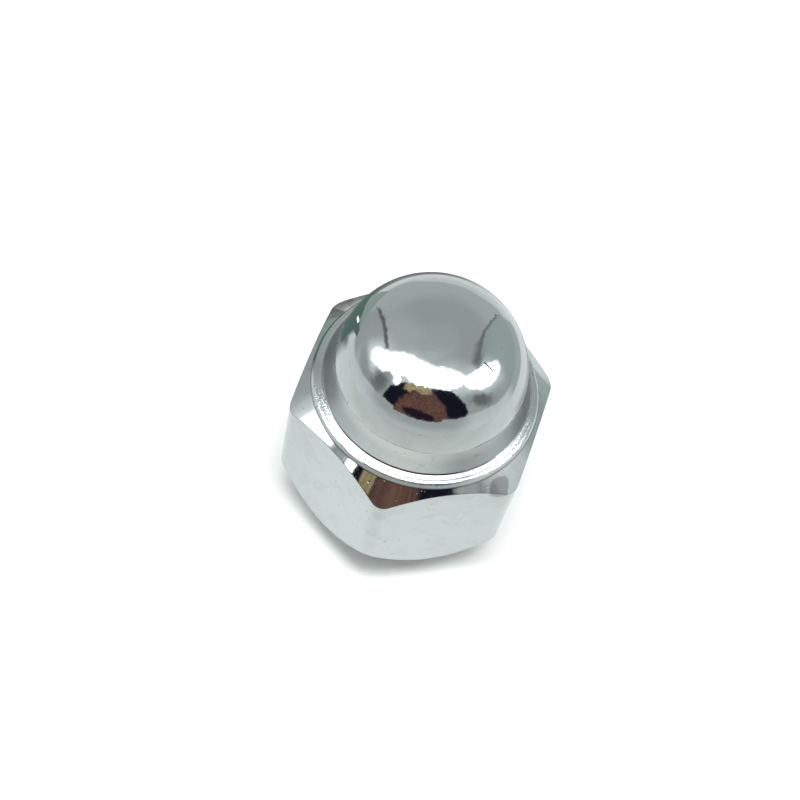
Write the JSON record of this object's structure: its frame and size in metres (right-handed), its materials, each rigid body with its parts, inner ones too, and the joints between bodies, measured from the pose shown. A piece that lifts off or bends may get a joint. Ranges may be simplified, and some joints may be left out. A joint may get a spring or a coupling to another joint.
{
  "type": "lug nut",
  "caption": "Chrome closed-end lug nut: hexagon body on a 60 degree conical seat, a narrow turned ring, and a round dome closing a blind threaded hole.",
  "frame": {"origin": "centre of the small flat end of the conical seat, the face the nut stands on", "axes": "+Z along the thread axis towards the dome; two corners of the hexagon lie on the X axis, two flats face +Y and -Y"},
  "size_m": [0.0215, 0.019, 0.0261],
  "materials": {
    "chrome": "polished chrome plating with fine handling marks"
  },
  "bodies": {
    "root": {"lug_nut": "chrome"}
  },
  "joints": []
}
